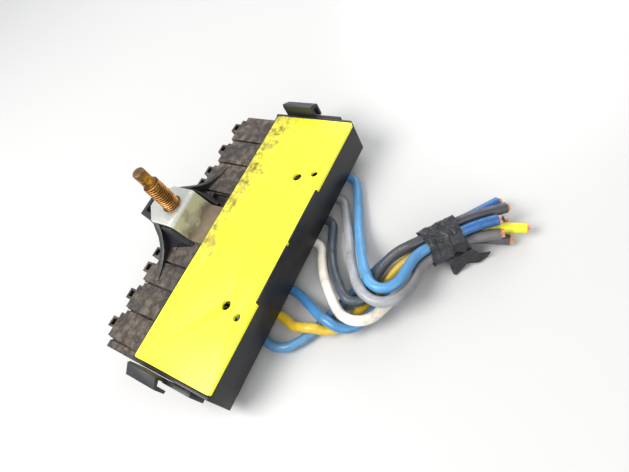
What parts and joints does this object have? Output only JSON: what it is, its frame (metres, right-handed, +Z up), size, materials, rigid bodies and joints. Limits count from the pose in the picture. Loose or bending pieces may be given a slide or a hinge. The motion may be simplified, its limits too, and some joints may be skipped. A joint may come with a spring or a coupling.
{
  "type": "fuse box panel",
  "caption": "Low rectangular supply fuse box with a flat lid, end latches, a raised input stud on a castellated carrier, and a taped cut-off cable harness.",
  "frame": {"origin": "on the table under the middle of the box, measured without the cables", "axes": "+X along the box, +Y towards the input stud side, +Z up through the lid; the cables leave towards -Y"},
  "size_m": [0.172, 0.1975, 0.0645],
  "materials": {
    "black_plastic": "fine satin, dusty",
    "yellow_plastic": "satin, handled",
    "dusty_plastic": "black moulding under dried brown dust",
    "plated_steel": "dull plated, stained",
    "yellow_zinc": "yellow passivated steel, worn",
    "tinned_copper": "tinned, dull",
    "zinc_steel": "zinc plated",
    "fuse_moulding": "smooth moulding",
    "cable_light_blue": "satin insulation, dirty",
    "cable_light_grey": "satin insulation, dirty",
    "cable_dark_grey": "satin insulation, dirty",
    "cable_cream": "satin insulation, dirty",
    "cable_blue": "satin insulation, dirty",
    "cable_yellow": "satin insulation, dirty",
    "cable_dark_blue": "satin insulation, dirty",
    "black_tape": "creased vinyl tape"
  },
  "bodies": {
    "box": {"housing": "black_plastic", "comb_carrier": "dusty_plastic", "input_bracket": "plated_steel", "input_stud": "yellow_zinc", "supply_busbar": "tinned_copper", "bracket_rivet_1": "zinc_steel", "bracket_rivet_2": "zinc_steel", "outlet_terminal_1": "tinned_copper", "strip_fuse_1": "fuse_moulding", "outlet_nut_1": "zinc_steel", "busbar_nut_1": "zinc_steel", "outlet_terminal_2": "tinned_copper", "strip_fuse_2": "fuse_moulding", "outlet_nut_2": "zinc_steel", "busbar_nut_2": "zinc_steel", "outlet_terminal_3": "tinned_copper", "strip_fuse_3": "fuse_moulding", "outlet_nut_3": "zinc_steel", "busbar_nut_3": "zinc_steel", "outlet_terminal_4": "tinned_copper", "strip_fuse_4": "fuse_moulding", "outlet_nut_4": "zinc_steel", "busbar_nut_4": "zinc_steel", "outlet_terminal_5": "tinned_copper", "strip_fuse_5": "fuse_moulding", "outlet_nut_5": "zinc_steel", "busbar_nut_5": "zinc_steel", "outlet_terminal_6": "tinned_copper", "strip_fuse_6": "fuse_moulding", "outlet_nut_6": "zinc_steel", "busbar_nut_6": "zinc_steel", "outlet_terminal_7": "tinned_copper", "strip_fuse_7": "fuse_moulding", "outlet_nut_7": "zinc_steel", "busbar_nut_7": "zinc_steel", "cable_1": "cable_light_blue", "cable_2": "cable_light_grey", "cable_3": "cable_dark_grey", "cable_4": "cable_cream", "cable_5": "cable_blue", "cable_6": "cable_yellow", "cable_7": "cable_dark_blue", "tape_wrap": "black_tape", "tape_tail": "black_tape"},
    "lid_body": {"lid": "yellow_plastic"},
    "latch_left_body": {"latch_left": "black_plastic"},
    "latch_right_body": {"latch_right": "black_plastic"}
  },
  "joints": [
    {"name": "lid_lift", "type": "slide", "parent": "box", "child": "lid_body", "axis": [0, 0, 1], "range_m": [0, 0.04]},
    {"name": "latch_left_flex", "type": "hinge", "parent": "box", "child": "latch_left_body", "pos_m": [-0.0815, -0.038, 0.02], "axis": [0, 0, 1], "range_deg": [-0.5, 5], "stiffness_Nm_per_rad": 3},
    {"name": "latch_right_flex", "type": "hinge", "parent": "box", "child": "latch_right_body", "pos_m": [0.0815, -0.038, 0.02], "axis": [0, 0, 1], "range_deg": [-5, 0.5], "stiffness_Nm_per_rad": 3}
  ]
}
